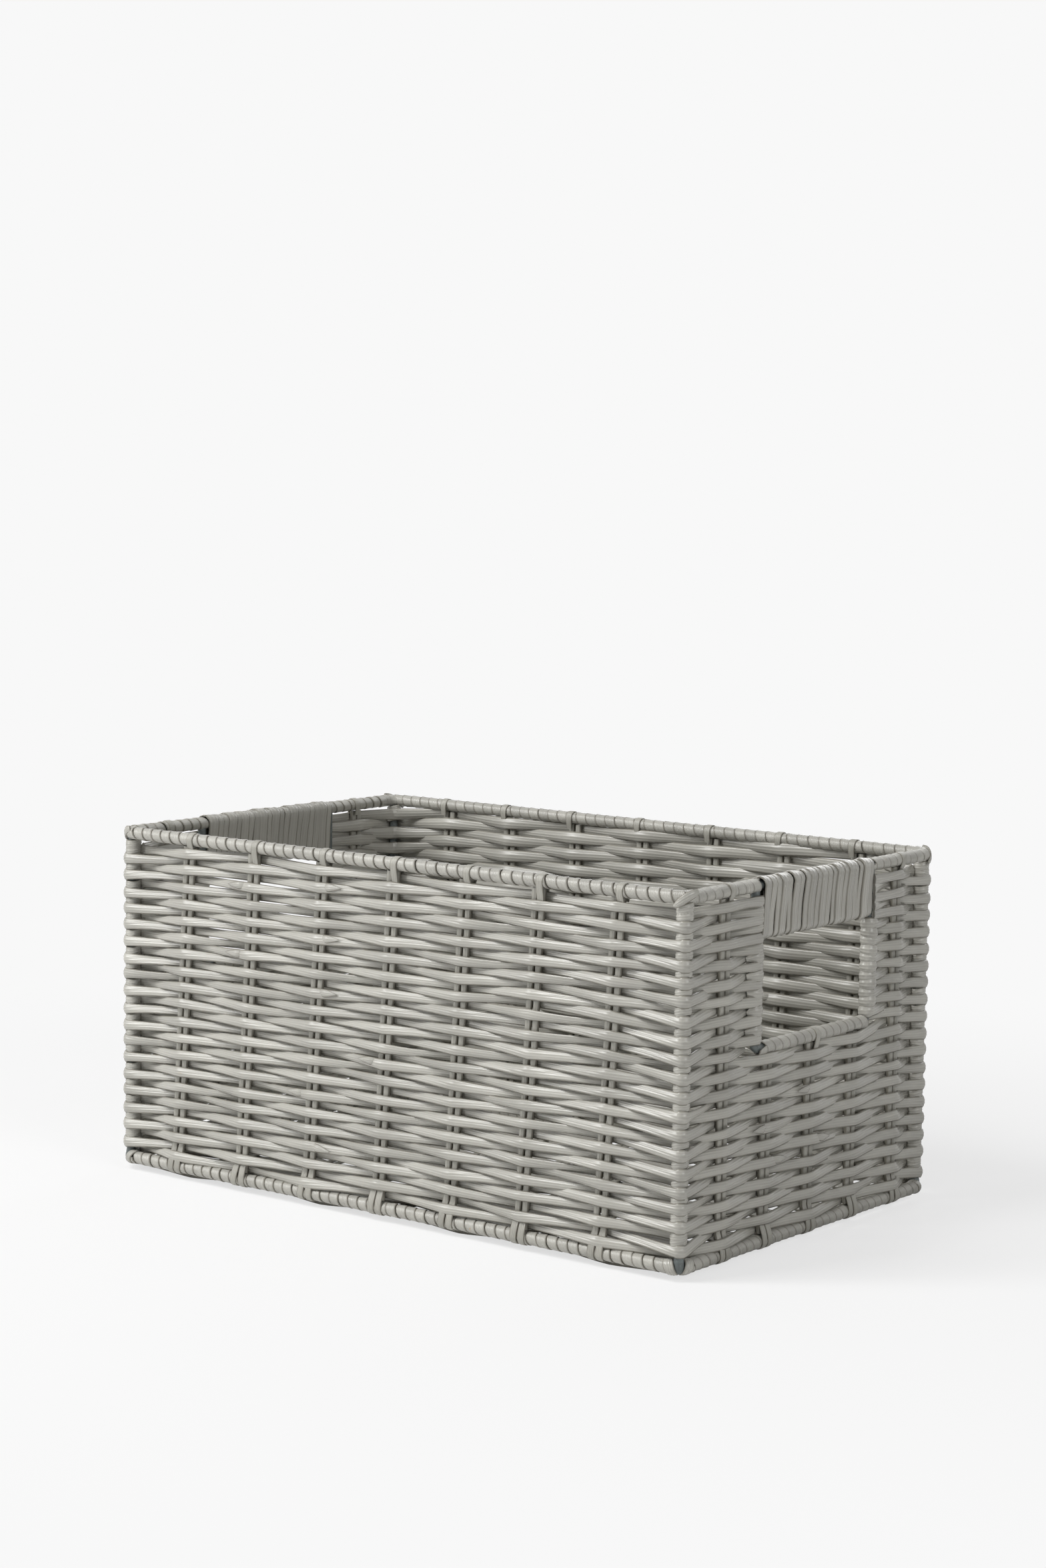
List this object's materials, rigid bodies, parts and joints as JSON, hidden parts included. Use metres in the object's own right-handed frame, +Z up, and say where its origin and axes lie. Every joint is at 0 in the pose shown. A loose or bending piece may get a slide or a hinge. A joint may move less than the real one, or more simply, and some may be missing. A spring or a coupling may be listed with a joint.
{
  "type": "woven storage basket",
  "caption": "Rectangular open storage basket, peel woven over reed stakes on a wire frame, with a wrapped grip over a hand hole at each end.",
  "frame": {"origin": "middle of the bounding box's bottom face, on the floor under the basket's centre", "axes": "+X along the long side to the right-hand grip, +Y from the front wall to the back wall, +Z up"},
  "size_m": [0.4008, 0.25, 0.2015],
  "materials": {
    "frame_wire": "drawn steel wire, dark grey coating",
    "binding_peel": "split cane peel, satin warm grey paint",
    "stake_reed": "round-edged reed, satin warm grey paint",
    "weaver_peel": "flat ribbed peel, satin warm grey paint"
  },
  "bodies": {
    "root": {"rim_wire": "frame_wire", "base_wire": "frame_wire", "corner_posts": "frame_wire", "opening_frame_left": "frame_wire", "opening_frame_right": "frame_wire", "grip_bar_left": "frame_wire", "grip_bar_right": "frame_wire", "rim_binding": "binding_peel", "base_binding": "binding_peel", "sill_binding_left": "binding_peel", "sill_binding_right": "binding_peel", "grip_wrap_left": "binding_peel", "grip_wrap_right": "binding_peel", "cross_stakes_1": "stake_reed", "cross_stakes_2": "stake_reed", "cross_stakes_3": "stake_reed", "cross_stakes_4": "stake_reed", "cross_stakes_5": "stake_reed", "cross_stakes_6": "stake_reed", "cross_stakes_7": "stake_reed", "end_stakes_left": "stake_reed", "end_stakes_right": "stake_reed", "weave_course_01": "weaver_peel", "weave_course_02": "weaver_peel", "weave_course_03": "weaver_peel", "weave_course_04": "weaver_peel", "weave_course_05": "weaver_peel", "weave_course_06": "weaver_peel", "weave_course_07": "weaver_peel", "weave_course_08": "weaver_peel", "weave_course_09": "weaver_peel", "weave_course_10": "weaver_peel", "weave_course_11": "weaver_peel", "weave_course_12": "weaver_peel", "weave_course_13": "weaver_peel", "weave_course_14": "weaver_peel", "weave_course_15": "weaver_peel", "weave_course_16": "weaver_peel", "weave_course_17": "weaver_peel", "weave_course_18": "weaver_peel", "weave_course_19": "weaver_peel", "base_weave": "weaver_peel"}
  },
  "joints": []
}
